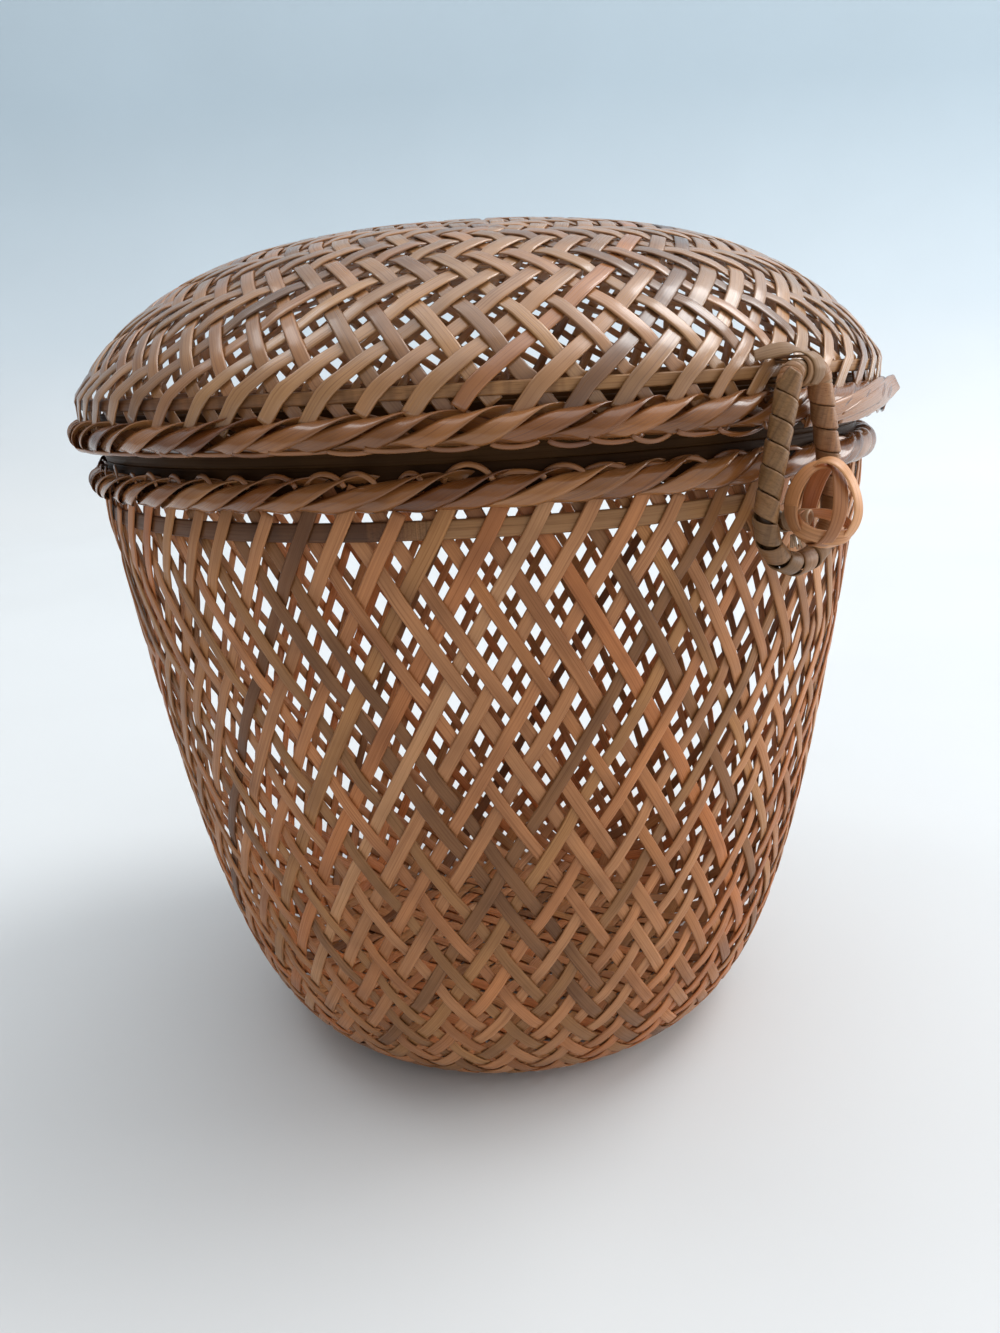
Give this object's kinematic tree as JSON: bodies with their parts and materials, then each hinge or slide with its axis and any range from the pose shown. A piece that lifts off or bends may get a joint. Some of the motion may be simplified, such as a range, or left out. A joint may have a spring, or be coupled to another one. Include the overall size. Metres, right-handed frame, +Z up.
{
  "type": "lidded plaited basket",
  "caption": "Round basket plaited from bamboo splints, with a hinged domed lid, wrapped borders, an inner collar and a loop-and-knob closure.",
  "frame": {"origin": "centre of the flat base, on the plane that the basket stands on", "axes": "+Z up along the basket's axis, -Y towards the loop-and-knob closure, +Y towards the lid's hinge"},
  "size_m": [0.2, 0.2198, 0.2035],
  "materials": {
    "body_splint": "satin",
    "lid_splint": "satin",
    "hoop_splint": "satin",
    "border_splint": "satin",
    "collar_splint": "satin",
    "knob_splint": "satin",
    "wrap_splint": "satin"
  },
  "bodies": {
    "basket": {"body_weave": "body_splint", "body_hoop": "hoop_splint", "body_rim": "border_splint", "body_collar": "collar_splint", "knob_shank": "wrap_splint", "knob_ring_outer": "knob_splint", "knob_ring_middle": "knob_splint", "knob_ring_inner": "knob_splint", "hinge_pin": "hoop_splint", "hinge_lashing_left": "wrap_splint", "hinge_lashing_right": "wrap_splint"},
    "lid": {"lid_weave": "lid_splint", "lid_hoop": "hoop_splint", "lid_rim": "border_splint", "hinge_lashing_lid": "wrap_splint", "loop_lashing_inner": "wrap_splint", "loop_lashing_outer": "wrap_splint"},
    "loop": {"loop_core": "hoop_splint", "loop_wrap": "wrap_splint"}
  },
  "joints": [
    {"name": "lid_hinge", "type": "hinge", "parent": "basket", "child": "lid", "pos_m": [0, 0.10265, 0.15625], "axis": [-1, 0, 0], "range_deg": [0, 120]},
    {"name": "loop_hinge", "type": "hinge", "parent": "lid", "child": "loop", "pos_m": [0, -0.10256, 0.1679], "axis": [-1, 0, 0], "range_deg": [0, 150]}
  ]
}
